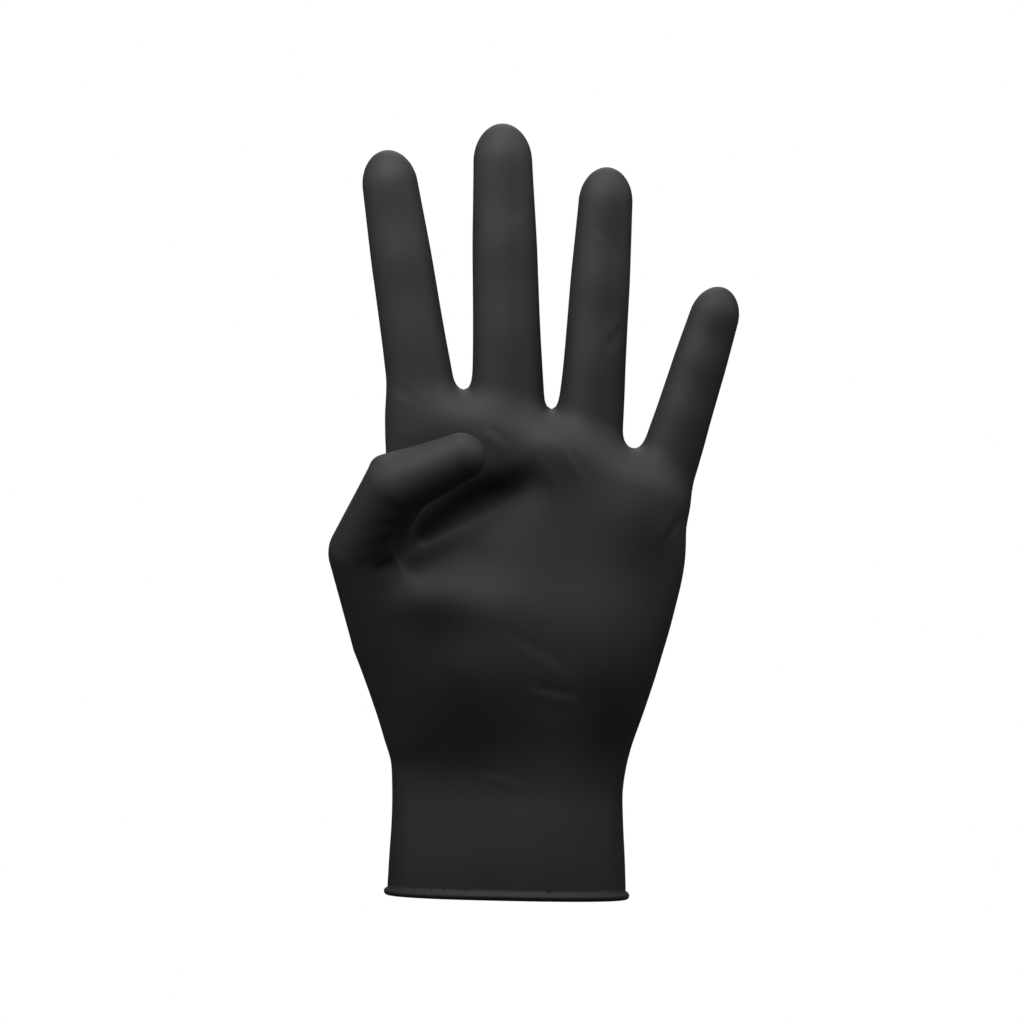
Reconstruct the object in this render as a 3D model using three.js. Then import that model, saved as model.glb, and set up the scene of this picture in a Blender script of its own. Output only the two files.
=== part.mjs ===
// A nitrile exam glove in the form of the hand that wears it: four fingers up, the thumb folded over the palm.
// It is one dipped film, open at the wrist, whose edge is rolled into a bead. Millimetres.
// X runs across the palm from the thumb's side, Y through the hand with the palm facing -Y, Z up to the fingertips.
// The origin is the centre of the wrist opening.
import * as THREE from "three";
import { edgeTable, triTable } from "three/addons/objects/MarchingCubes.js";

// Film and bead
const FILM_WALL = 1.0;
const BEAD_RADIUS = 1.1;
const BEAD_STEPS = 7;
const RIM_SLOPE_DEG = 1.15; // the rim drops towards the little finger

// Cuff: from the rim up to the wrist
const CUFF_HEIGHT = 30;
const CUFF_WIDTH = 74;
const CUFF_DEPTH = 47;

// Palm: from the wrist up to the crotch beside the middle finger
const PALM_HEIGHT = 120;
const PALM_WIDTH = 95;
const PALM_DEPTH = 30;
const PALM_ROUNDNESS = 2.5; // exponent of the section's superellipse
const FINGER_LINE_DROP = 25; // how much lower the fingers start at the little finger's side
const WEB_BLEND = 7;
const KNUCKLE_ROUND = 12;

// Fingers, as long and as wide as the middle one
const FINGER_LENGTH = 78.8;
const FINGER_WIDTH = 21.1;
const FINGER_DOME = 0.55; // height of the rounded tip over the finger's width
const FINGER_SINK = 26; // how far a finger's tube goes down into the palm
const FINGER_LEAN_BACK_DEG = 2;
const FINGER_FLATNESS = 0.86; // depth over width
const PAD_RISE = 0.45;

// Thumb
const THUMB_LENGTH = 62;
const THUMB_RADIUS = 11;
const THUMB_START = { x: -0.226 * PALM_WIDTH, y: -0.1 * PALM_DEPTH, z: 1.5 * CUFF_HEIGHT }; // inside the wrist
const THUMB_BLEND = 5;
const BALL_BLEND = 12;

// Ridge beside each fold, over the fold's depth and width
const RIDGE_RISE = 0.5;
const RIDGE_ASIDE = 1.6;

// Mesh of the film: the grid that finds it, and how often its points are evened out
const CELL_ACROSS = 4.8;
const CELL_DEEP = 4.7;
const CELL_CUFF = 8;
const CELL_PALM = 6.5;
const CELL_THUMB = 4.7;
const CELL_FINGERS = 5.4;
const EVEN_ROUNDS = 6;
const KEEP_CLEAR = 0.15; // how near a vertex may come to the grid's own points, as a share of a cell

const CUFF_ROWS = [
  // up: share of CUFF_HEIGHT; left, right: shares of CUFF_WIDTH; palmar, dorsal: shares of CUFF_DEPTH
  { up: 0.0, left: -0.5, right: 0.5, palmar: -0.5, dorsal: 0.5 },
  { up: 0.35, left: -0.492, right: 0.496, palmar: -0.475, dorsal: 0.475 },
  { up: 0.75, left: -0.482, right: 0.489, palmar: -0.435, dorsal: 0.42 },
];

const PALM_ROWS = [
  // up: share of PALM_HEIGHT; left, right: shares of PALM_WIDTH; palmar, dorsal: shares of PALM_DEPTH
  { up: 0.02, left: -0.374, right: 0.381, palmar: -0.63, dorsal: 0.61 },
  { up: 0.12, left: -0.378, right: 0.402, palmar: -0.605, dorsal: 0.58 },
  { up: 0.22, left: -0.392, right: 0.44, palmar: -0.62, dorsal: 0.55 },
  { up: 0.34, left: -0.42, right: 0.492, palmar: -0.64, dorsal: 0.52 },
  { up: 0.46, left: -0.43, right: 0.54, palmar: -0.62, dorsal: 0.5 },
  { up: 0.6, left: -0.43, right: 0.577, palmar: -0.55, dorsal: 0.48 },
  { up: 0.75, left: -0.412, right: 0.575, palmar: -0.5, dorsal: 0.43 },
  { up: 0.88, left: -0.392, right: 0.572, palmar: -0.44, dorsal: 0.38 },
  { up: 1.0, left: -0.38, right: 0.56, palmar: -0.37, dorsal: 0.33 },
  { up: 1.15, left: -0.37, right: 0.55, palmar: -0.31, dorsal: 0.29 },
];

// x, z: shares of PALM_WIDTH and PALM_HEIGHT where the finger's axis leaves the palm; lean: degrees towards the
// little finger's side; length from there to the tip and width at the root: shares of FINGER_LENGTH, FINGER_WIDTH
const FINGERS = [
  { name: "index", x: -0.284, z: 1.083, lean: -8.7, length: 0.905, width: 0.943 },
  { name: "middle", x: 0.004, z: 1.083, lean: -1.3, length: 1.0, width: 1.0 },
  { name: "ring", x: 0.279, z: 1.017, lean: 3.9, length: 0.93, width: 0.919 },
  { name: "little", x: 0.551, z: 0.917, lean: 17.4, length: 0.635, width: 0.829 },
];

// wide: share of the finger's width; pad: how full the soft pad between two joints stands, from 0 to 1
const FINGER_ROWS = [
  { up: -0.12, wide: 1.05, pad: 0.0 },
  { up: 0.02, wide: 1.03, pad: 0.0 },
  { up: 0.17, wide: 0.995, pad: 1.0 },
  { up: 0.36, wide: 0.97, pad: 0.0 },
  { up: 0.52, wide: 0.95, pad: 1.0 },
  { up: 0.68, wide: 0.91, pad: 0.0 },
  { up: 0.84, wide: 0.87, pad: 1.0 },
  { up: 1.0, wide: 0.84, pad: 0.4 },
];

// x, y, z: shares of THUMB_LENGTH from THUMB_START; radius: share of THUMB_RADIUS
const THUMB_ROWS = [
  { name: "wrist end", x: -0.04, y: 0, z: 0.15, radius: 1.25 },
  { name: "root", x: -0.205, y: -0.08, z: 0.56, radius: 1.25 },
  { name: "base joint", x: -0.35, y: -0.197, z: 0.976, radius: 1.06 },
  { name: "tip joint", x: -0.196, y: -0.41, z: 1.305, radius: 0.93 },
  { name: "tip", x: 0.123, y: -0.44, z: 1.448, radius: 0.69 },
];
// the bent joint's corner, as a thinner chain outside the first: from the base joint over the knuckle to the tip
const THUMB_CORNER = [
  { name: "base joint", x: -0.35, y: -0.197, z: 0.976, radius: 1.06 },
  { name: "knuckle", x: -0.25, y: -0.41, z: 1.38, radius: 0.48 },
  { name: "above the tip", x: 0.105, y: -0.44, z: 1.485, radius: 0.42 },
];
const THUMB_BALL = [
  { name: "foot", x: 0.1, y: 0.06, z: 0.17, radius: 1.4 },
  { name: "top", x: -0.1, y: -0.15, z: 0.76, radius: 1.22 },
];
const THUMB_WEB = [
  { name: "at the palm", x: -0.1, y: 0.05, z: 0.9, radius: 0.6 },
  { name: "at the base joint", x: -0.27, y: -0.2, z: 1.03, radius: 0.6 },
];

// Soft forms on the palm (side -1) and the back (side 1). x, z: shares of PALM_WIDTH and PALM_HEIGHT;
// wide, tall: shares of PALM_WIDTH; turn: degrees; rise: share of PALM_DEPTH
const SWELLS = [
  { name: "ball of the thumb", side: -1, x: -0.16, z: 0.34, wide: 0.22, tall: 0.25, turn: -20, rise: 0.2 },
  { name: "edge of the ball", side: -1, x: -0.17, z: 0.57, wide: 0.17, tall: 0.07, turn: -8, rise: 0.1 },
  { name: "bump beside the thumb's crease", side: -1, x: -0.31, z: 0.56, wide: 0.05, tall: 0.05, turn: 0, rise: 0.08 },
  { name: "heel of the little side", side: -1, x: 0.33, z: 0.36, wide: 0.14, tall: 0.28, turn: 10, rise: 0.1 },
  { name: "hollow of the palm", side: -1, x: -0.11, z: 0.75, wide: 0.18, tall: 0.12, turn: 0, rise: -0.175 },
  { name: "pad under index and middle", side: -1, x: -0.15, z: 0.99, wide: 0.1, tall: 0.09, turn: 0, rise: 0.05 },
  { name: "pad under middle and ring", side: -1, x: 0.15, z: 0.9, wide: 0.12, tall: 0.12, turn: 0, rise: 0.08 },
  { name: "pad under ring and little", side: -1, x: 0.42, z: 0.76, wide: 0.13, tall: 0.12, turn: 0, rise: 0.12 },
  { name: "index knuckle", side: 1, x: -0.26, z: 0.9, wide: 0.09, tall: 0.13, turn: 0, rise: 0.1 },
  { name: "middle knuckle", side: 1, x: 0.0, z: 0.92, wide: 0.09, tall: 0.13, turn: 0, rise: 0.13 },
  { name: "ring knuckle", side: 1, x: 0.25, z: 0.86, wide: 0.08, tall: 0.12, turn: 0, rise: 0.1 },
  { name: "little knuckle", side: 1, x: 0.46, z: 0.76, wide: 0.08, tall: 0.11, turn: 0, rise: 0.09 },
];

// Folds of the film on the palm's side, from one end (x1, z1) to the other (x2, z2) in shares of PALM_WIDTH and
// PALM_HEIGHT; wide: share of PALM_WIDTH; deep: share of PALM_DEPTH. A low ridge runs beside each on its right.
const FOLDS = [
  { name: "upper crease of the thumb", x1: -0.34, z1: 0.66, x2: -0.53, z2: 0.63, wide: 0.02, deep: 0.05 },
  { name: "lower crease of the thumb", x1: -0.34, z1: 0.62, x2: -0.45, z2: 0.565, wide: 0.02, deep: 0.05 },
  { name: "upper fold of the palm", x1: 0.01, z1: 0.435, x2: 0.23, z2: 0.335, wide: 0.03, deep: 0.03 },
  { name: "lower fold of the palm", x1: 0.06, z1: 0.295, x2: 0.24, z2: 0.265, wide: 0.02, deep: 0.05 },
  { name: "step under the ring finger", x1: 0.2, z1: 0.9, x2: 0.26, z2: 0.81, wide: 0.02, deep: 0.03 },
];

const radians = THREE.MathUtils.degToRad;

// A smooth curve through the rows of a table: for a place along `key`, each of `columns`, with Hermite spans.
function through(rows, key, columns) {
  const slope = (i, c) => {
    const a = rows[Math.max(i - 1, 0)];
    const b = rows[Math.min(i + 1, rows.length - 1)];
    return (b[c] - a[c]) / (b[key] - a[key]);
  };
  return (place) => {
    let i = 0;
    while (i < rows.length - 2 && place > rows[i + 1][key]) i++;
    const span = rows[i + 1][key] - rows[i][key];
    const t = THREE.MathUtils.clamp((place - rows[i][key]) / span, 0, 1);
    const [t2, t3] = [t * t, t * t * t];
    return columns.map(
      (c) =>
        (2 * t3 - 3 * t2 + 1) * rows[i][c] +
        (t3 - 2 * t2 + t) * span * slope(i, c) +
        (3 * t2 - 2 * t3) * rows[i + 1][c] +
        (t3 - t2) * span * slope(i + 1, c),
    );
  };
}

// The lower of two distances, rounded where they meet: k is the width of the fillet.
function blend(a, b, k) {
  const h = Math.max(k - Math.abs(a - b), 0) / k;
  return Math.min(a, b) - (h * h * k) / 4;
}

// Cuff and palm: a stack of superellipse sections that ends in a rounded edge along the finger line.
const trunkRows = [
  ...CUFF_ROWS.map((r) => ({
    z: r.up * CUFF_HEIGHT,
    left: r.left * CUFF_WIDTH,
    right: r.right * CUFF_WIDTH,
    palmar: r.palmar * CUFF_DEPTH,
    dorsal: r.dorsal * CUFF_DEPTH,
  })),
  ...PALM_ROWS.map((r) => ({
    z: CUFF_HEIGHT + r.up * PALM_HEIGHT,
    left: r.left * PALM_WIDTH,
    right: r.right * PALM_WIDTH,
    palmar: r.palmar * PALM_DEPTH,
    dorsal: r.dorsal * PALM_DEPTH,
  })),
];
const trunkAt = through(trunkRows, "z", ["left", "right", "palmar", "dorsal"]);

function fingerLine(x) {
  const across = x / PALM_WIDTH;
  return CUFF_HEIGHT + PALM_HEIGHT - FINGER_LINE_DROP * across * (1 + across);
}

function trunk(x, y, z) {
  const [left, right, palmar, dorsal] = trunkAt(z);
  const [halfX, halfY] = [(right - left) / 2, (dorsal - palmar) / 2];
  const u = Math.abs(x - (left + right) / 2) / halfX;
  const v = Math.abs(y - (palmar + dorsal) / 2) / halfY;
  const n = PALM_ROUNDNESS;
  const ring = (u ** n + v ** n) ** (1 / n);
  const steep = Math.hypot((u / ring) ** (n - 1) / halfX, (v / ring) ** (n - 1) / halfY);
  const side = (ring - 1) / Math.max(steep, 1e-3);
  return -blend(-side, fingerLine(x) - z, KNUCKLE_ROUND);
}

// A finger: an oval tube along its own axis, closed by a dome, with pads on the palm's side.
const fingerAt = through(FINGER_ROWS, "up", ["wide", "pad"]);

function finger(f) {
  const root = new THREE.Vector3(f.x * PALM_WIDTH, 0, CUFF_HEIGHT + f.z * PALM_HEIGHT);
  const [length, width] = [f.length * FINGER_LENGTH, f.width * FINGER_WIDTH];
  const dome = FINGER_DOME * width;
  const lean = radians(f.lean);
  const back = Math.tan(radians(FINGER_LEAN_BACK_DEG));
  return (x, y, z) => {
    const along = (x - root.x) * Math.sin(lean) + (z - root.z) * Math.cos(lean);
    const across = (x - root.x) * Math.cos(lean) - (z - root.z) * Math.sin(lean);
    const [wide, pad] = fingerAt(along / length);
    const a = (wide * width) / 2;
    const deep = y - Math.max(along, 0) * back;
    const b = a * FINGER_FLATNESS + (deep < 0 ? pad * PAD_RISE : 0);
    const end = Math.max(along - (length - dome), 0) / dome - Math.max(-along - FINGER_SINK + a, 0) / a;
    const ring = Math.hypot(across / a, deep / b, end);
    const steep = Math.hypot(across / a / a, deep / b / b, end / dome);
    return ring * (ring - 1) / Math.max(steep, 1e-3);
  };
}
const fingers = FINGERS.map(finger);

// The thumb: tapered round bones in a chain, and its corner. They meet unblended, so that a bend creases inside.
const thumbPoint = (r) => ({
  centre: new THREE.Vector3(r.x, r.y, r.z).multiplyScalar(THUMB_LENGTH).add(THUMB_START),
  radius: r.radius * THUMB_RADIUS,
});
const thumbPoints = THUMB_ROWS.map(thumbPoint);
const corner = THUMB_CORNER.map(thumbPoint);
const ball = THUMB_BALL.map(thumbPoint);
const web = THUMB_WEB.map(thumbPoint);

function bone(p, from, to) {
  const axis = new THREE.Vector3().subVectors(to.centre, from.centre);
  const arm = new THREE.Vector3().subVectors(p, from.centre);
  const t = THREE.MathUtils.clamp(arm.dot(axis) / axis.lengthSq(), 0, 1);
  return arm.addScaledVector(axis, -t).length() - THREE.MathUtils.lerp(from.radius, to.radius, t);
}

function thumb(x, y, z) {
  const p = new THREE.Vector3(x, y, z);
  const bones = (chain) => chain.slice(1).map((end, i) => bone(p, chain[i], end));
  return Math.min(...bones(thumbPoints), ...bones(corner));
}

// The swells, as one height added to the surface on their side of the hand.
function swell(x, y, z) {
  return SWELLS.reduce((height, s) => {
    const turn = radians(s.turn);
    const [dx, dz] = [x - s.x * PALM_WIDTH, z - CUFF_HEIGHT - s.z * PALM_HEIGHT];
    const u = (dx * Math.cos(turn) + dz * Math.sin(turn)) / (s.wide * PALM_WIDTH);
    const v = (dz * Math.cos(turn) - dx * Math.sin(turn)) / (s.tall * PALM_WIDTH);
    const facing = THREE.MathUtils.smoothstep(s.side * y, -PALM_DEPTH / 8, PALM_DEPTH / 4);
    return height + facing * s.rise * PALM_DEPTH * Math.exp(-u * u - v * v);
  }, 0);
}

// The folds, as one height: a groove that fades towards its ends, and the ridge beside it.
function folds(x, y, z) {
  const facing = THREE.MathUtils.smoothstep(-y, 0, PALM_DEPTH / 4);
  return FOLDS.reduce((height, f) => {
    const [run, climb] = [(f.x2 - f.x1) * PALM_WIDTH, (f.z2 - f.z1) * PALM_HEIGHT];
    const [dx, dz] = [x - f.x1 * PALM_WIDTH, z - CUFF_HEIGHT - f.z1 * PALM_HEIGHT];
    const length = Math.hypot(run, climb);
    const along = (dx * run + dz * climb) / length ** 2;
    const aside = (dx * climb - dz * run) / length / (f.wide * PALM_WIDTH);
    const fade = Math.max(4 * along * (1 - along), 0);
    const profile = RIDGE_RISE * Math.exp(-((aside - RIDGE_ASIDE) ** 2)) - Math.exp(-(aside ** 2));
    return height + facing * fade * f.deep * PALM_DEPTH * profile;
  }, 0);
}

// Distance to the outside of the film, below zero in the hand.
function hand(x, y, z) {
  const palm = fingers.reduce((d, f) => blend(d, f(x, y, z), WEB_BLEND), trunk(x, y, z) - swell(x, y, z));
  const p = new THREE.Vector3(x, y, z);
  const heel = [ball, web].reduce((d, ends) => blend(d, bone(p, ...ends), BALL_BLEND), palm);
  return blend(heel, thumb(x, y, z), THUMB_BLEND) - folds(x, y, z);
}

const STEP = 0.05;
function outward(p, flat) {
  const n = new THREE.Vector3(
    hand(p.x + STEP, p.y, p.z) - hand(p.x - STEP, p.y, p.z),
    hand(p.x, p.y + STEP, p.z) - hand(p.x, p.y - STEP, p.z),
    flat ? 0 : hand(p.x, p.y, p.z + STEP) - hand(p.x, p.y, p.z - STEP),
  );
  return n.divideScalar(2 * STEP);
}

// Grid lines from low to high, about `step` apart, without the last one.
function lines(low, high, step) {
  const n = Math.ceil((high - low) / step);
  return Array.from({ length: n }, (_, i) => low + ((high - low) * i) / n);
}

// The grid covers the trunk, the fingertips and the thumb with a margin on each side.
const tips = FINGERS.map((f) => {
  const lean = radians(f.lean);
  const [aside, up] = [f.length * FINGER_LENGTH * Math.sin(lean), f.length * FINGER_LENGTH * Math.cos(lean)];
  return {
    x: f.x * PALM_WIDTH + aside,
    y: up * Math.tan(radians(FINGER_LEAN_BACK_DEG)),
    z: CUFF_HEIGHT + f.z * PALM_HEIGHT + up,
  };
});
const margin = PALM_DEPTH / 2;
const ends = [...tips, ...thumbPoints.map((t) => t.centre)];
const widest = (key, ...columns) => [
  Math.min(...ends.map((p) => p[key]), ...columns.flatMap((c) => trunkRows.map((r) => r[c]))) - margin,
  Math.max(...ends.map((p) => p[key]), ...columns.flatMap((c) => trunkRows.map((r) => r[c]))) + margin,
];
const thumbFoot = CUFF_HEIGHT + PALM_HEIGHT / 2;
const thumbTop = CUFF_HEIGHT + PALM_HEIGHT;
const gridX = lines(...widest("x", "left", "right"), CELL_ACROSS);
const gridY = lines(...widest("y", "palmar", "dorsal"), CELL_DEEP);
const gridZ = [
  ...lines(BEAD_RADIUS, CUFF_HEIGHT, CELL_CUFF),
  ...lines(CUFF_HEIGHT, thumbFoot, CELL_PALM),
  ...lines(thumbFoot, thumbTop, CELL_THUMB),
  ...lines(thumbTop, Math.max(...tips.map((t) => t.z)) + margin, CELL_FINGERS),
];

// The outside as triangles between the grid's lines, by marching cubes, each vertex then set on the surface.
function skin() {
  const [nx, ny, nz] = [gridX.length, gridY.length, gridZ.length];
  const at = (i, j, k) => i + nx * (j + ny * k);
  const values = new Float64Array(nx * ny * nz);
  for (let k = 0; k < nz; k++)
    for (let j = 0; j < ny; j++)
      for (let i = 0; i < nx; i++) values[at(i, j, k)] = hand(gridX[i], gridY[j], gridZ[k]);

  const corners = [[0, 0, 0], [1, 0, 0], [1, 1, 0], [0, 1, 0], [0, 0, 1], [1, 0, 1], [1, 1, 1], [0, 1, 1]];
  const edge = [[0, 1], [1, 2], [3, 2], [0, 3], [4, 5], [5, 6], [7, 6], [4, 7], [0, 4], [1, 5], [2, 6], [3, 7]];
  const points = [];
  const found = new Map();
  const pointOn = (a, b) => {
    const [ia, ib] = [at(...a), at(...b)];
    const key = ia * values.length + ib;
    if (!found.has(key)) {
      const t = THREE.MathUtils.clamp(values[ia] / (values[ia] - values[ib]), KEEP_CLEAR, 1 - KEEP_CLEAR);
      const p = new THREE.Vector3(
        THREE.MathUtils.lerp(gridX[a[0]], gridX[b[0]], t),
        THREE.MathUtils.lerp(gridY[a[1]], gridY[b[1]], t),
        THREE.MathUtils.lerp(gridZ[a[2]], gridZ[b[2]], t),
      );
      found.set(key, points.length);
      points.push({ outer: p, onRim: a[2] === 0 && b[2] === 0 });
    }
    return found.get(key);
  };

  const faces = [];
  for (let k = 0; k < nz - 1; k++)
    for (let j = 0; j < ny - 1; j++)
      for (let i = 0; i < nx - 1; i++) {
        const cell = corners.map(([x, y, z]) => [i + x, j + y, k + z]);
        const kind = cell.reduce((bits, c, n) => bits | (values[at(...c)] < 0 ? 1 << n : 0), 0);
        if (!edgeTable[kind]) continue;
        for (let t = kind * 16; triTable[t] >= 0; t += 3)
          faces.push([2, 1, 0].map((n) => pointOn(...edge[triTable[t + n]].map((c) => cell[c]))));
      }
  for (const p of points) settle(p);
  for (let n = 0; n < EVEN_ROUNDS; n++) even(points, faces);
  return { points, faces };
}

// Sets a point on the surface, without leaving the rim's plane if it is on the rim.
function settle(p) {
  for (let n = 0; n < 3; n++) {
    const g = outward(p.outer, p.onRim);
    p.outer.addScaledVector(g, -hand(p.outer.x, p.outer.y, p.outer.z) / g.lengthSq());
  }
  p.normal = outward(p.outer, p.onRim).normalize();
}

// Moves each point towards the middle of its neighbours, or on the rim of its two neighbours there.
function even(points, faces) {
  const middle = points.map(() => ({ sum: new THREE.Vector3(), count: 0 }));
  for (const [a, b, c] of faces)
    for (const [from, to] of [[a, b], [b, c], [c, a], [b, a], [c, b], [a, c]]) {
      if (points[from].onRim && !points[to].onRim) continue;
      middle[from].sum.add(points[to].outer);
      middle[from].count++;
    }
  points.forEach((p, n) => {
    p.outer.lerp(middle[n].sum.divideScalar(middle[n].count), 0.5);
    settle(p);
  });
}

// The open edge at the wrist as one ring of point numbers, in the order that the faces leave it.
function rimOf(points, faces) {
  const next = new Map();
  for (const [a, b, c] of faces)
    for (const [from, to] of [[a, b], [b, c], [c, a]])
      if (points[from].onRim && points[to].onRim) next.set(from, to);
  const ring = [next.keys().next().value];
  while (next.get(ring.at(-1)) !== ring[0]) ring.push(next.get(ring.at(-1)));
  return ring;
}

// The film: outside, inside one wall further in, and the edge rolled round into the bead.
function glove() {
  const { points, faces } = skin();
  const count = points.length;
  const vertices = [
    ...points.map((p) => p.outer),
    ...points.map((p) => p.outer.clone().addScaledVector(p.normal, -FILM_WALL)),
  ];
  const triangles = [...faces, ...faces.map(([a, b, c]) => [c + count, b + count, a + count])];

  const rim = rimOf(points, faces);
  let ringBefore = rim;
  for (let s = 0; s <= BEAD_STEPS; s++) {
    const angle = Math.PI / 2 - (1.5 * Math.PI * (s + 1)) / (BEAD_STEPS + 1);
    const last = s === BEAD_STEPS;
    const ring = rim.map((n) => {
      if (last) return n + count;
      const p = points[n];
      vertices.push(
        p.outer
          .clone()
          .addScaledVector(p.normal, BEAD_RADIUS * Math.cos(angle))
          .add(new THREE.Vector3(0, 0, BEAD_RADIUS * (Math.sin(angle) - 1))),
      );
      return vertices.length - 1;
    });
    ringBefore.forEach((a, i) => {
      const j = (i + 1) % rim.length;
      triangles.push([ringBefore[j], a, ring[i]], [ringBefore[j], ring[i], ring[j]]);
    });
    ringBefore = ring;
  }

  const slope = Math.tan(radians(RIM_SLOPE_DEG));
  for (const v of vertices) v.z -= slope * v.x * Math.max(0, 1 - v.z / CUFF_HEIGHT);
  const geometry = new THREE.BufferGeometry().setFromPoints(vertices);
  geometry.setIndex(triangles.flat());
  geometry.computeVertexNormals();
  return geometry;
}

const nitrile = new THREE.MeshStandardMaterial({ color: "#2b2b2c", roughness: 0.5, metalness: 0 });

const group = new THREE.Group();
const mesh = new THREE.Mesh(glove(), nitrile);
mesh.name = "glove";
group.add(mesh);

export default group;
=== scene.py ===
import bpy
import numpy as np
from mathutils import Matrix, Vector


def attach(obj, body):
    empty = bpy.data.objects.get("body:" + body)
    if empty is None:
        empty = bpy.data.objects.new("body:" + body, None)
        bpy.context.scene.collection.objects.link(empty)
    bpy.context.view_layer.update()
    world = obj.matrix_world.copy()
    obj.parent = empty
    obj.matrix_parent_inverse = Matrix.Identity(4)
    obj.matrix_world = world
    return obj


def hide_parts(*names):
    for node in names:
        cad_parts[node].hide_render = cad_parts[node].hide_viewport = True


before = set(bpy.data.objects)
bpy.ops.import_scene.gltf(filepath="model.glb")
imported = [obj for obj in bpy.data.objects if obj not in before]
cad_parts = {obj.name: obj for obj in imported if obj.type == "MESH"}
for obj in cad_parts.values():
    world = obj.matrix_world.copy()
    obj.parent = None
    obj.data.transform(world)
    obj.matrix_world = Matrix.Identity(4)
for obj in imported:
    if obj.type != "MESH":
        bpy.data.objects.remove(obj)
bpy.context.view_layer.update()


# The glove
# One film of black nitrile rubber, dipped on a former, its edge at the wrist rolled into a bead. It keeps the
# form of the hand that wore it. Its outside, inside and bead are one closed surface, in millimetres at first.

MM = 0.001
FILM_WALL = 0.5  # the real film is about 0.15 mm; the solid that carries the collision has 1 mm
BEAD_RADIUS = 1.1
BEAD_STEPS = 14
RIM_SLOPE_DEG = 1.15  # the rim falls towards the little finger's side

CUFF_HEIGHT = 30
CUFF_WIDTH = 74
CUFF_DEPTH = 47
# up: share of CUFF_HEIGHT; left, right: shares of CUFF_WIDTH; palmar, dorsal: shares of CUFF_DEPTH
CUFF_ROWS = (
    dict(up=0.0, left=-0.5, right=0.5, palmar=-0.5, dorsal=0.5),
    dict(up=0.35, left=-0.492, right=0.496, palmar=-0.475, dorsal=0.475),
    dict(up=0.75, left=-0.482, right=0.489, palmar=-0.435, dorsal=0.42),
)

PALM_HEIGHT = 120
PALM_WIDTH = 95
PALM_DEPTH = 30
PALM_ROUNDNESS = 2.5
# up: share of PALM_HEIGHT; left, right: shares of PALM_WIDTH; palmar, dorsal: shares of PALM_DEPTH
PALM_ROWS = (
    dict(up=0.02, left=-0.374, right=0.381, palmar=-0.63, dorsal=0.61),
    dict(up=0.12, left=-0.378, right=0.402, palmar=-0.605, dorsal=0.58),
    dict(up=0.22, left=-0.392, right=0.44, palmar=-0.62, dorsal=0.55),
    dict(up=0.34, left=-0.42, right=0.492, palmar=-0.64, dorsal=0.52),
    dict(up=0.46, left=-0.43, right=0.54, palmar=-0.62, dorsal=0.5),
    dict(up=0.6, left=-0.43, right=0.577, palmar=-0.55, dorsal=0.48),
    dict(up=0.75, left=-0.412, right=0.575, palmar=-0.5, dorsal=0.43),
    dict(up=0.88, left=-0.392, right=0.572, palmar=-0.44, dorsal=0.38),
    dict(up=1.0, left=-0.38, right=0.56, palmar=-0.37, dorsal=0.33),
    dict(up=1.15, left=-0.37, right=0.55, palmar=-0.31, dorsal=0.29),
)
FINGER_LINE_DROP = 25
KNUCKLE_ROUND = 12

FINGER_LENGTH = 78.8
FINGER_WIDTH = 21.1
FINGER_DOME = 0.55  # height of the rounded tip over the finger's width
FINGER_SINK = 26
FINGER_LEAN_BACK_DEG = 2
FINGER_FLATNESS = 0.86
PAD_RISE = 0.45
WEB_BLEND = 7
# x, z: shares of PALM_WIDTH and PALM_HEIGHT where the finger's axis leaves the palm; lean: degrees towards
# the little finger's side; length: from there to the tip, a share of FINGER_LENGTH; width: at the root, a
# share of FINGER_WIDTH
FINGERS = (
    dict(name="index", x=-0.284, z=1.083, lean=-8.7, length=0.905, width=0.943),
    dict(name="middle", x=0.004, z=1.083, lean=-1.3, length=1.0, width=1.0),
    dict(name="ring", x=0.279, z=1.017, lean=3.9, length=0.93, width=0.919),
    dict(name="little", x=0.551, z=0.917, lean=17.4, length=0.635, width=0.829),
)
# up: share of the finger's length; wide: share of its width; pad: how full the soft pad stands, 0 to 1
FINGER_ROWS = (
    dict(up=-0.12, wide=1.05, pad=0.0),
    dict(up=0.02, wide=1.03, pad=0.0),
    dict(up=0.17, wide=0.995, pad=1.0),
    dict(up=0.36, wide=0.97, pad=0.0),
    dict(up=0.52, wide=0.95, pad=1.0),
    dict(up=0.68, wide=0.91, pad=0.0),
    dict(up=0.84, wide=0.87, pad=1.0),
    dict(up=1.0, wide=0.84, pad=0.4),
)

THUMB_LENGTH = 62
THUMB_RADIUS = 11
THUMB_BLEND = 5
BALL_BLEND = 12
THUMB_START = (-0.226 * PALM_WIDTH, -0.1 * PALM_DEPTH, 1.5 * CUFF_HEIGHT)  # inside the wrist
# x, y, z: shares of THUMB_LENGTH from THUMB_START; radius: share of THUMB_RADIUS
THUMB_ROWS = (
    dict(name="wrist end", x=-0.04, y=0.0, z=0.15, radius=1.25),
    dict(name="root", x=-0.205, y=-0.08, z=0.56, radius=1.25),
    dict(name="base joint", x=-0.35, y=-0.197, z=0.976, radius=1.06),
    dict(name="tip joint", x=-0.196, y=-0.41, z=1.305, radius=0.93),
    dict(name="tip", x=0.123, y=-0.44, z=1.448, radius=0.69),
)
THUMB_BASE_JOINT = THUMB_ROWS[2]
# the bent joint's corner, a thinner chain outside the first: from the base joint over the knuckle to the tip
THUMB_CORNER = (
    THUMB_BASE_JOINT,
    dict(name="knuckle", x=-0.25, y=-0.41, z=1.38, radius=0.48),
    dict(name="above the tip", x=0.105, y=-0.44, z=1.485, radius=0.42),
)
THUMB_BALL = (
    dict(name="foot", x=0.1, y=0.06, z=0.17, radius=1.4),
    dict(name="top", x=-0.1, y=-0.15, z=0.76, radius=1.22),
)
THUMB_WEB = (
    dict(name="at the palm", x=-0.1, y=0.05, z=0.9, radius=0.6),
    dict(name="at the base joint", x=-0.27, y=-0.2, z=1.03, radius=0.6),
)

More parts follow.
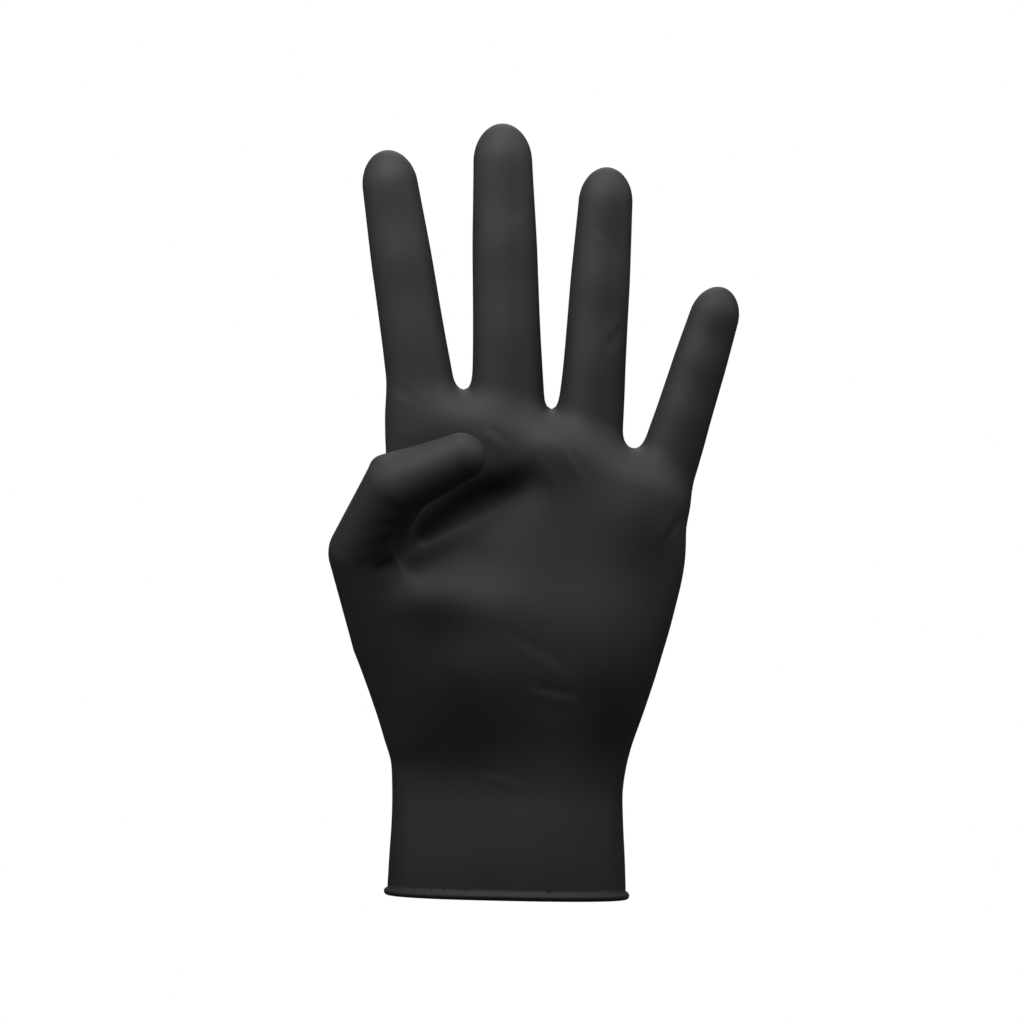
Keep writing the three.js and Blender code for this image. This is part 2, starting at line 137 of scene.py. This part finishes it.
# Soft forms on the palm (side -1) and the back (side 1). x, z: shares of PALM_WIDTH and PALM_HEIGHT;
# wide, tall: shares of PALM_WIDTH; turn: degrees; rise: share of PALM_DEPTH, below zero in a hollow
SWELLS = (
    dict(name="ball of the thumb", side=-1, x=-0.16, z=0.34, wide=0.22, tall=0.25, turn=-20, rise=0.2),
    dict(name="edge of the ball", side=-1, x=-0.17, z=0.52, wide=0.19, tall=0.1, turn=-12, rise=0.14),
    dict(name="bump by the thumb's crease", side=-1, x=-0.27, z=0.51, wide=0.1, tall=0.1, turn=0, rise=0.1),
    dict(name="hollow of the wrist", side=-1, x=0.0, z=0.06, wide=0.5, tall=0.16, turn=0, rise=-0.03),
    dict(name="heel of the little side", side=-1, x=0.33, z=0.36, wide=0.14, tall=0.28, turn=10, rise=0.1),
    dict(name="hollow of the palm", side=-1, x=-0.11, z=0.75, wide=0.18, tall=0.12, turn=0, rise=-0.175),
    dict(name="pad of index and middle", side=-1, x=-0.15, z=0.99, wide=0.1, tall=0.09, turn=0, rise=0.05),
    dict(name="pad of middle and ring", side=-1, x=0.15, z=0.9, wide=0.12, tall=0.12, turn=0, rise=0.08),
    dict(name="pad of ring and little", side=-1, x=0.46, z=0.74, wide=0.13, tall=0.19, turn=0, rise=0.12),
    dict(name="index knuckle", side=1, x=-0.26, z=0.9, wide=0.09, tall=0.13, turn=0, rise=0.1),
    dict(name="middle knuckle", side=1, x=0.0, z=0.92, wide=0.09, tall=0.13, turn=0, rise=0.13),
    dict(name="ring knuckle", side=1, x=0.25, z=0.86, wide=0.08, tall=0.12, turn=0, rise=0.1),
    dict(name="little knuckle", side=1, x=0.46, z=0.76, wide=0.08, tall=0.11, turn=0, rise=0.09),
)

# A swell rises from nothing to its full height between these depths, in shares of PALM_DEPTH from the middle
# of the hand towards the swell's side. A fold starts at the middle.
SIDE_FROM = -0.125
SIDE_TO = 0.25

# Folds of the film on the palm's side, from (x1, z1) to (x2, z2) in shares of PALM_WIDTH and PALM_HEIGHT;
# wide: share of PALM_WIDTH; deep: share of PALM_DEPTH; lip: height of the ridge beside the groove over its
# depth. The two pockets are wide folds without a ridge, where the thumb stands free of the palm.
RIDGE_ASIDE = 1.6  # from the middle of the groove to that of the ridge, in widths of the fold
FOLDS = (
    dict(name="top thumb crease", x1=-0.33, z1=0.725, x2=-0.4, z2=0.77, wide=0.012, deep=0.006, lip=0.8),
    dict(name="second thumb crease", x1=-0.335, z1=0.7, x2=-0.42, z2=0.705, wide=0.012, deep=0.007, lip=0.8),
    dict(name="third thumb crease", x1=-0.33, z1=0.675, x2=-0.47, z2=0.64, wide=0.012, deep=0.006, lip=0.8),
    dict(name="low thumb crease", x1=-0.335, z1=0.635, x2=-0.45, z2=0.565, wide=0.01, deep=0.009, lip=0.9),
    dict(name="pocket under the thumb", x1=-0.36, z1=0.625, x2=0.13, z2=0.83, wide=0.06, deep=0.21, lip=0),
    dict(name="corner of the pocket", x1=-0.35, z1=0.605, x2=-0.08, z2=0.755, wide=0.04, deep=0.16, lip=0),
    dict(name="upper palm fold", x1=-0.02, z1=0.44, x2=0.24, z2=0.32, wide=0.018, deep=0.006, lip=0.6),
    dict(name="lower palm fold", x1=0.06, z1=0.295, x2=0.25, z2=0.26, wide=0.016, deep=0.009, lip=0.8),
    dict(name="wrist fold", x1=-0.1, z1=0.08, x2=0.06, z2=0.045, wide=0.012, deep=0.005, lip=0.9),
    dict(name="step under the ring", x1=0.19, z1=0.92, x2=0.26, z2=0.82, wide=0.012, deep=0.012, lip=0.8),
    dict(name="fold past the thumb", x1=-0.07, z1=0.96, x2=0.02, z2=0.9, wide=0.012, deep=0.01, lip=0.8),
    dict(name="little side fold", x1=0.58, z1=0.74, x2=0.5, z2=0.64, wide=0.012, deep=0.009, lip=0.8),
    dict(name="ring finger fold", x1=0.4, z1=1.235, x2=0.32, z2=1.155, wide=0.012, deep=0.012, lip=0.8),
    dict(name="ring finger tuck", x1=0.29, z1=1.47, x2=0.34, z2=1.43, wide=0.012, deep=0.008, lip=0.8),
    dict(name="middle finger tuck", x1=0.0, z1=1.48, x2=0.055, z2=1.51, wide=0.012, deep=0.007, lip=0.8),
    dict(name="index root tuck", x1=-0.38, z1=1.06, x2=-0.3, z2=1.02, wide=0.012, deep=0.007, lip=0.8),
)

# The box of the grid that the surface is found in, with a margin around the hand, and the grid's steps across,
# through and along it. CELL_TALL gives, from the cuff up, the height to which each step is used.
GRID_X = (-62, 80)
GRID_Y = (-46, 32)
GRID_TOP = 245
CELL_ACROSS = 1.3
CELL_DEEP = 1.3
CELL_TALL = ((CUFF_HEIGHT, 2.2), (CUFF_HEIGHT + PALM_HEIGHT, 1.3), (CUFF_HEIGHT + 2 * PALM_HEIGHT, 1.9))
SETTLE_ROUNDS = 3
EVEN_ROUNDS = 3
NUDGE = 0.05  # the step that slopes are taken over
LEAST_STEEP = 1e-3  # keeps the distance to a section finite at its very middle
TINY = 1e-6  # keeps a divisor above zero


def through(rows, key, columns):
    """A smooth curve through a table's rows: cubic Hermite spans whose slope at a row is that of the line
    between the rows before and after it. Gives each of `columns` at any places along `key`."""
    at = np.array([r[key] for r in rows])
    before = np.maximum(np.arange(len(rows)) - 1, 0)
    after = np.minimum(np.arange(len(rows)) + 1, len(rows) - 1)
    curves = []
    for column in columns:
        value = np.array([r[column] for r in rows])
        curves.append((value, (value[after] - value[before]) / (at[after] - at[before])))

    def curve(place):
        i = np.clip(np.searchsorted(at, place, side="right") - 1, 0, len(at) - 2)
        span = at[i + 1] - at[i]
        t = np.clip((place - at[i]) / span, 0, 1)
        return [
            (2 * t**3 - 3 * t**2 + 1) * v[i]
            + (t**3 - 2 * t**2 + t) * span * m[i]
            + (3 * t**2 - 2 * t**3) * v[i + 1]
            + (t**3 - t**2) * span * m[i + 1]
            for v, m in curves
        ]

    return curve


def blend(a, b, k):
    """The lower of two distances, rounded where they meet by a parabola that is k wide."""
    h = np.maximum(k - np.abs(a - b), 0) / k
    return np.minimum(a, b) - h * h * k / 4


def smooth(t):
    """0 to 1 with level ends: 3t squared less 2t cubed."""
    t = np.clip(t, 0, 1)
    return t * t * (3 - 2 * t)


def in_mm(rows, base, height, width, depth):
    """A table of sections with its shares turned into millimetres."""
    return [
        dict(
            z=base + r["up"] * height,
            left=r["left"] * width,
            right=r["right"] * width,
            palmar=r["palmar"] * depth,
            dorsal=r["dorsal"] * depth,
        )
        for r in rows
    ]


trunk_rows = in_mm(CUFF_ROWS, 0, CUFF_HEIGHT, CUFF_WIDTH, CUFF_DEPTH)
trunk_rows += in_mm(PALM_ROWS, CUFF_HEIGHT, PALM_HEIGHT, PALM_WIDTH, PALM_DEPTH)
trunk_at = through(trunk_rows, "z", ("left", "right", "palmar", "dorsal"))


def trunk(x, y, z):
    """Cuff and palm: a superellipse section at each height, its value less 1 over its slope as the distance,
    cut off along the line of the fingers by a parabola across the palm."""
    left, right, palmar, dorsal = trunk_at(z)
    half_x, half_y = (right - left) / 2, (dorsal - palmar) / 2
    u = np.abs(x - (left + right) / 2) / half_x
    v = np.abs(y - (palmar + dorsal) / 2) / half_y
    n = PALM_ROUNDNESS
    ring = np.maximum((u**n + v**n) ** (1 / n), TINY)
    steep = np.hypot((u / ring) ** (n - 1) / half_x, (v / ring) ** (n - 1) / half_y)
    side = (ring - 1) / np.maximum(steep, LEAST_STEEP)
    across = x / PALM_WIDTH
    finger_line = CUFF_HEIGHT + PALM_HEIGHT - FINGER_LINE_DROP * across * (1 + across)
    return -blend(-side, finger_line - z, KNUCKLE_ROUND)


finger_at = through(FINGER_ROWS, "up", ("wide", "pad"))


def finger(f, x, y, z):
    """A finger: an oval tube along its leaning axis, closed by a half ellipsoid at each end, with its palm
    side pushed out where a pad is. The distance is the oval's value less 1 over its slope."""
    lean = np.radians(f["lean"])
    dx, dz = x - f["x"] * PALM_WIDTH, z - CUFF_HEIGHT - f["z"] * PALM_HEIGHT
    along = dx * np.sin(lean) + dz * np.cos(lean)
    across = dx * np.cos(lean) - dz * np.sin(lean)
    length, width = f["length"] * FINGER_LENGTH, f["width"] * FINGER_WIDTH
    dome = FINGER_DOME * width
    wide, pad = finger_at(along / length)
    a = wide * width / 2
    deep = y - np.maximum(along, 0) * np.tan(np.radians(FINGER_LEAN_BACK_DEG))
    b = a * FINGER_FLATNESS + np.where(deep < 0, pad * PAD_RISE, 0)
    end = np.maximum(along - (length - dome), 0) / dome - np.maximum(-along - FINGER_SINK + a, 0) / a
    ring = np.sqrt((across / a) ** 2 + (deep / b) ** 2 + end**2)
    steep = np.sqrt((across / a / a) ** 2 + (deep / b / b) ** 2 + (end / dome) ** 2)
    return ring * (ring - 1) / np.maximum(steep, LEAST_STEEP)


def thumb_point(r):
    """A point of the thumb in millimetres, and its radius."""
    return np.array([r["x"], r["y"], r["z"]]) * THUMB_LENGTH + THUMB_START, r["radius"] * THUMB_RADIUS


def bone(x, y, z, start, end):
    """Distance to a round bone between two points whose radius changes evenly from one to the other."""
    (a, r_a), (b, r_b) = thumb_point(start), thumb_point(end)
    axis = b - a
    dx, dy, dz = x - a[0], y - a[1], z - a[2]
    t = np.clip((dx * axis[0] + dy * axis[1] + dz * axis[2]) / (axis @ axis), 0, 1)
    arm = np.sqrt((dx - t * axis[0]) ** 2 + (dy - t * axis[1]) ** 2 + (dz - t * axis[2]) ** 2)
    return arm - (r_a + (r_b - r_a) * t)


def thumb(x, y, z):
    """The thumb: bones in a chain, and the corner's thinner chain. They meet unblended, so that a bend
    creases on its inside."""
    ends = [*zip(THUMB_ROWS, THUMB_ROWS[1:]), *zip(THUMB_CORNER, THUMB_CORNER[1:])]
    return np.min([bone(x, y, z, start, end) for start, end in ends], axis=0)


def swell(x, y, z):
    """The soft forms as one height: a turned bell curve for each, on its own side of the hand."""
    height = 0
    for s in SWELLS:
        turn = np.radians(s["turn"])
        dx, dz = x - s["x"] * PALM_WIDTH, z - CUFF_HEIGHT - s["z"] * PALM_HEIGHT
        u = (dx * np.cos(turn) + dz * np.sin(turn)) / (s["wide"] * PALM_WIDTH)
        v = (dz * np.cos(turn) - dx * np.sin(turn)) / (s["tall"] * PALM_WIDTH)
        facing = smooth((s["side"] * y / PALM_DEPTH - SIDE_FROM) / (SIDE_TO - SIDE_FROM))
        height = height + facing * s["rise"] * PALM_DEPTH * np.exp(-u * u - v * v)
    return height


def folds(x, y, z):
    """The folds as one height: across each, a bell-shaped groove with a lower ridge on its right; along it,
    a parabola that fades it to nothing at both ends."""
    height = 0
    facing = smooth(-y / (SIDE_TO * PALM_DEPTH))
    for f in FOLDS:
        run, climb = (f["x2"] - f["x1"]) * PALM_WIDTH, (f["z2"] - f["z1"]) * PALM_HEIGHT
        dx, dz = x - f["x1"] * PALM_WIDTH, z - CUFF_HEIGHT - f["z1"] * PALM_HEIGHT
        length = np.hypot(run, climb)
        along = (dx * run + dz * climb) / length**2
        aside = (dx * climb - dz * run) / length / (f["wide"] * PALM_WIDTH)
        fade = np.maximum(4 * along * (1 - along), 0)
        profile = f["lip"] * np.exp(-((aside - RIDGE_ASIDE) ** 2)) - np.exp(-(aside**2))
        height = height + facing * fade * f["deep"] * PALM_DEPTH * profile
    return height


def hand(x, y, z):
    """Distance to the outside of the film, below zero in the hand: the trunk with its swells, the fingers,
    the ball and web of the thumb and the thumb, each blended with what it grows from, less the folds. The
    fingers, the thumb and the palm run into one another in round webs, which no grid of two parameters or
    profile on a path can follow, so the outside is the surface where this distance is zero."""
    d = trunk(x, y, z) - swell(x, y, z)
    for f in FINGERS:
        d = blend(d, finger(f, x, y, z), WEB_BLEND)
    d = blend(d, bone(x, y, z, *THUMB_BALL), BALL_BLEND)
    d = blend(d, bone(x, y, z, *THUMB_WEB), BALL_BLEND)
    return blend(d, thumb(x, y, z), THUMB_BLEND) - folds(x, y, z)


def outward(p, on_rim):
    """The slope of hand() at each point, by differences over a small step; level on the rim."""
    x, y, z = p.T
    slope = np.stack(
        [
            hand(x + NUDGE, y, z) - hand(x - NUDGE, y, z),
            hand(x, y + NUDGE, z) - hand(x, y - NUDGE, z),
            hand(x, y, z + NUDGE) - hand(x, y, z - NUDGE),
        ],
        axis=1,
    ) / (2 * NUDGE)
    slope[on_rim, 2] = 0
    return slope


def settle(p, on_rim, rounds):
    """Moves each point along the slope until hand() is zero there, by Newton's steps."""
    for _ in range(rounds):
        g = outward(p, on_rim)
        p = p - g * (hand(*p.T) / np.maximum((g * g).sum(1), TINY))[:, None]
    return p


def grid_lines():
    """The places of the grid's planes along X, Y and Z. The two lowest planes along Z hold the rim."""
    z = [np.array([BEAD_RADIUS - CELL_DEEP])]
    low = BEAD_RADIUS
    for high, step in CELL_TALL:
        count = int(np.ceil((high - low) / step))
        z.append(np.linspace(low, high, count, endpoint=False))
        low = high
    z = np.concatenate(z)
    return np.arange(*GRID_X, CELL_ACROSS), np.arange(*GRID_Y, CELL_DEEP), z[z < GRID_TOP]


def crossings(places, value, axis):
    """The grid's edges along one axis: which of them the surface crosses, and where, in proportion to the
    distances at the edge's two ends. The place of an edge that it doesn't cross is zero."""
    low, high = [slice(None)] * 3, [slice(None)] * 3
    low[axis], high[axis] = slice(None, -1), slice(1, None)
    low, high = tuple(low), tuple(high)
    a, b = value[low], value[high]
    crosses = (a < 0) != (b < 0)
    t = np.where(crosses, a / np.where(crosses, a - b, 1), 0)
    spot = places[low] + t[..., None] * (places[high] - places[low])
    return crosses, spot * crosses[..., None]


def quads_round(crosses, axis, number, value):
    """A quad for each of the grid's edges along one axis that the surface crosses, between the numbered points
    of the four cells around the edge, turned to face outwards."""
    p, q = (axis + 1) % 3, (axis + 2) % 3
    corner = np.argwhere(crosses)
    corner = corner[(corner[:, p] > 0) & (corner[:, q] > 0) & (corner < number.shape).all(1)]
    step_p, step_q = np.eye(3, dtype=int)[[p, q]]
    ring = [corner - step_p - step_q, corner - step_q, corner, corner - step_p]
    quads = np.stack([number[tuple(cell.T)] for cell in ring], axis=1)
    turned = value[tuple(corner.T)] >= 0
    quads[turned] = quads[turned][:, ::-1]
    return quads


def skin():
    """The outside as quads. Each cell of the grid that the surface passes through holds one point, at the
    middle of the places where the cell's edges cross it, and each of those edges joins the points around it."""
    places = np.stack(np.meshgrid(*grid_lines(), indexing="ij"), axis=-1)
    value = hand(places[..., 0], places[..., 1], np.maximum(places[..., 2], BEAD_RADIUS))
    size = np.array(value.shape) - 1
    total = np.zeros((*size, 3))
    count = np.zeros(size)
    edges = []
    for axis in range(3):
        crosses, spot = crossings(places, value, axis)
        p, q = (axis + 1) % 3, (axis + 2) % 3
        for i, j in ((0, 0), (0, 1), (1, 0), (1, 1)):
            part = [slice(None)] * 3
            part[p], part[q] = slice(i, i + size[p]), slice(j, j + size[q])
            total += spot[tuple(part)]
            count += crosses[tuple(part)]
        edges.append(crosses)

    active = count > 0
    number = np.full(size, -1)
    number[active] = np.arange(active.sum())
    points = total[active] / count[active][:, None]
    on_rim = np.argwhere(active)[:, 2] == 0
    points[on_rim, 2] = BEAD_RADIUS
    quads = np.concatenate([quads_round(crosses, axis, number, value) for axis, crosses in enumerate(edges)])
    return points, on_rim, quads[(quads >= 0).all(1)]


def even(points, on_rim, quads):
    """Moves each point halfway to the middle of its neighbours, on the rim of those on the rim, and sets it
    back on the surface, so that the quads become alike."""
    a = np.concatenate([quads, np.roll(quads, 1, axis=1)]).ravel()
    b = np.concatenate([np.roll(quads, 1, axis=1), quads]).ravel()
    keep = ~on_rim[a] | on_rim[b]
    a, b = a[keep], b[keep]
    weight = np.bincount(a, minlength=len(points))
    total = np.stack([np.bincount(a, points[b, k], len(points)) for k in range(3)], axis=1)
    moved = (points + total / weight[:, None]) / 2
    moved[on_rim, 2] = BEAD_RADIUS
    return settle(moved, on_rim, 1)


def film():
    """The glove's points and faces: the outside, the inside one wall further in, and between their open edges
    the bead, three quarters of a circle carried round the rim. The cuff then shears down along X by the slope
    of the rim, fully at the rim and not at all at the cuff's top."""
    points, on_rim, quads = skin()
    points = settle(points, on_rim, SETTLE_ROUNDS)
    for _ in range(EVEN_ROUNDS):
        points = even(points, on_rim, quads)
    normal = outward(points, on_rim)
    normal /= np.linalg.norm(normal, axis=1)[:, None]
    count = len(points)

    rim = np.flatnonzero(on_rim)
    middle = points[rim].mean(0)
    rim = rim[np.argsort(np.arctan2(points[rim, 1] - middle[1], points[rim, 0] - middle[0]))]
    angle = np.pi / 2 - 1.5 * np.pi * np.arange(1, BEAD_STEPS + 1) / (BEAD_STEPS + 1)
    out, up = BEAD_RADIUS * np.cos(angle), BEAD_RADIUS * (np.sin(angle) - 1)
    bead = points[rim][None] + out[:, None, None] * normal[rim][None]
    bead[:, :, 2] += up[:, None]
    ring = 2 * count + np.arange(BEAD_STEPS)[:, None] * len(rim) + np.arange(len(rim))
    rings = np.concatenate([rim[None], ring, rim[None] + count])
    after = np.roll(rings, -1, axis=1)
    strip = np.stack([after[:-1], rings[:-1], rings[1:], after[1:]], axis=-1).reshape(-1, 4)

    vertices = np.concatenate([points, points - FILM_WALL * normal, bead.reshape(-1, 3)])
    faces = np.concatenate([quads, quads[:, ::-1] + count, strip])
    fall = np.tan(np.radians(RIM_SLOPE_DEG)) * np.maximum(0, 1 - vertices[:, 2] / CUFF_HEIGHT)
    vertices[:, 2] -= fall * vertices[:, 0]
    return vertices * MM, faces


def mesh_piece(name, vertices, faces):
    """A smooth-shaded object from arrays of points and quads."""
    mesh = bpy.data.meshes.new(name)
    mesh.from_pydata(vertices.tolist(), [], faces.tolist())
    mesh.update()
    mesh.polygons.foreach_set("use_smooth", np.ones(len(mesh.polygons), dtype=bool))
    piece = bpy.data.objects.new(name, mesh)
    bpy.context.scene.collection.objects.link(piece)
    return piece


def linear(code):
    """An sRGB hex colour as linear RGBA, by the sRGB curve."""
    c = np.array([int(code[i : i + 2], 16) for i in (1, 3, 5)]) / 255
    c = np.where(c <= 0.04045, c / 12.92, ((c + 0.055) / 1.055) ** 2.4)
    return (*c.tolist(), 1.0)


def node(tree, kind, settings=(), inputs=(), links=()):
    """Adds a node, sets its properties and inputs, and links others' outputs to its inputs."""
    made = tree.nodes.new(kind)
    for key, value in dict(settings).items():
        setattr(made, key, value)
    for key, value in dict(inputs).items():
        made.inputs[key].default_value = value
    for key, (source, output) in dict(links).items():
        tree.links.new(source.outputs[output], made.inputs[key])
    return made


CLOUD_SIZE = 22.2
GRAIN_SIZE = 0.714  # drawn coarser than the real orange peel, so that it shows
GRAIN_HEIGHT = 0.2


def black_nitrile():
    """Dipped nitrile rubber with carbon black, left matt outside: a satin black that gives wide soft
    highlights, with a fine orange-peel grain from the former and faint clouds in its gloss."""
    material = bpy.data.materials.new("black_nitrile_rubber")
    material.use_nodes = True
    tree = material.node_tree
    tree.nodes.clear()
    place = node(tree, "ShaderNodeTexCoord")
    clouds = node(
        tree, "ShaderNodeTexNoise", inputs={"Scale": 1 / (CLOUD_SIZE * MM), "Detail": 3.0, "Roughness": 0.5},
        links={"Vector": (place, "Object")},
    )
    grain = node(
        tree, "ShaderNodeTexNoise", inputs={"Scale": 1 / (GRAIN_SIZE * MM), "Detail": 2.0, "Roughness": 0.6},
        links={"Vector": (place, "Object")},
    )
    gloss = node(
        tree, "ShaderNodeMapRange",
        inputs={"From Min": 0.3, "From Max": 0.7, "To Min": 0.58, "To Max": 0.68},
        links={"Value": (clouds, "Fac")},
    )
    tone = node(tree, "ShaderNodeValToRGB", links={"Fac": (clouds, "Fac")})
    tone.color_ramp.elements[0].position = 0.3
    tone.color_ramp.elements[0].color = linear("#303031")
    tone.color_ramp.elements[1].position = 0.7
    tone.color_ramp.elements[1].color = linear("#343435")
    peel = node(
        tree, "ShaderNodeBump", inputs={"Strength": 0.12, "Distance": GRAIN_HEIGHT * MM},
        links={"Height": (grain, "Fac")},
    )
    rubber = node(
        tree, "ShaderNodeBsdfPrincipled", inputs={"IOR": 1.5, "Specular IOR Level": 0.35, "Metallic": 0.0},
        links={"Base Color": (tone, "Color"), "Roughness": (gloss, "Result"), "Normal": (peel, "Normal")},
    )
    node(tree, "ShaderNodeOutputMaterial", links={"Surface": (rubber, "BSDF")})
    return material


glove = mesh_piece("nitrile_film", *film())
glove.data.materials.append(black_nitrile())
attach(glove, "root")
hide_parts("glove")


# The stage
# A pale floor well under the glove, which is held up, and a white background. The key box stands close above,
# in front and to the left, so that its light falls off towards the cuff and the thumb shades the palm. The
# others light the fingertips, the webs and the edges. From here on, sizes are in metres.

HAND_MIDDLE = (0, 0, 0.13)
FLOOR_HEIGHT = -1.2
FLOOR_HALF = 1.0
ROOM_SEEN = 1.0
ROOM_LIT = 0.02


def studio_floor():
    """A flat square of matt pale board."""
    corners = FLOOR_HALF * np.array([[-1, -1, 0], [1, -1, 0], [1, 1, 0], [-1, 1, 0]]) + [0, 0, FLOOR_HEIGHT]
    floor = mesh_piece("studio_floor", corners, np.array([[0, 1, 2, 3]]))
    material = bpy.data.materials.new("matt_pale_board")
    material.use_nodes = True
    board = material.node_tree.nodes["Principled BSDF"]
    board.inputs["Base Color"].default_value = linear("#f2f2f2")
    board.inputs["Roughness"].default_value = 0.9
    floor.data.materials.append(material)


def soft_box(name, place, size, power):
    """A square area light at a place, turned to the middle of the hand."""
    light = bpy.data.lights.new(name, "AREA")
    light.size = size
    light.energy = power
    lamp = bpy.data.objects.new(name, light)
    lamp.location = place
    lamp.rotation_euler = (Vector(HAND_MIDDLE) - Vector(place)).to_track_quat("-Z", "Y").to_euler()
    bpy.context.scene.collection.objects.link(lamp)


def white_room():
    """A world that the camera sees as white, and that lights the glove only a little."""
    world = bpy.data.worlds.new("white_room")
    bpy.context.scene.world = world
    world.use_nodes = True
    tree = world.node_tree
    tree.nodes.clear()
    seen = node(tree, "ShaderNodeBackground", inputs={"Color": (1, 1, 1, 1), "Strength": ROOM_SEEN})
    lit = node(tree, "ShaderNodeBackground", inputs={"Color": (1, 1, 1, 1), "Strength": ROOM_LIT})
    path = node(tree, "ShaderNodeLightPath")
    mix = node(
        tree, "ShaderNodeMixShader",
        links={0: (path, "Is Camera Ray"), 1: (lit, "Background"), 2: (seen, "Background")},
    )
    node(tree, "ShaderNodeOutputWorld", links={"Surface": (mix, "Shader")})


studio_floor()
white_room()
soft_box("key_box", place=(-0.1, -0.22, 0.4), size=0.25, power=0.72)
soft_box("high_box", place=(0, -0.1, 0.52), size=0.3, power=0.55)
soft_box("left_box", place=(-0.6, -0.2, 0.42), size=0.5, power=1.2)
soft_box("right_box", place=(0.35, -0.2, 0.55), size=0.35, power=0.9)
soft_box("right_edge_box", place=(0.8, -0.05, 0.5), size=0.5, power=1.0)
soft_box("back_box", place=(0, 0.45, 0.7), size=0.5, power=1.6)

# The camera stands 2 m in front of the glove, level, with a long lens, so that a pixel covers 0.31 mm there.
# It aims a little right of the cuff's middle and halfway up the glove.
CAMERA_DISTANCE = 2.0
PIXEL = 0.00031
IMAGE_PX = 1024
AIM_RIGHT_PX = 5.5
AIM_UP_PX = 381
SENSOR = 36.0
camera = bpy.data.objects.new("camera", bpy.data.cameras.new("camera"))
camera.data.sensor_width = SENSOR
camera.data.lens = SENSOR * CAMERA_DISTANCE / (IMAGE_PX * PIXEL)
camera.location = (AIM_RIGHT_PX * PIXEL, -CAMERA_DISTANCE, AIM_UP_PX * PIXEL)
camera.rotation_euler = (np.pi / 2, 0, 0)
bpy.context.scene.collection.objects.link(camera)
bpy.context.scene.camera = camera
bpy.context.scene.view_settings.view_transform = "Standard"
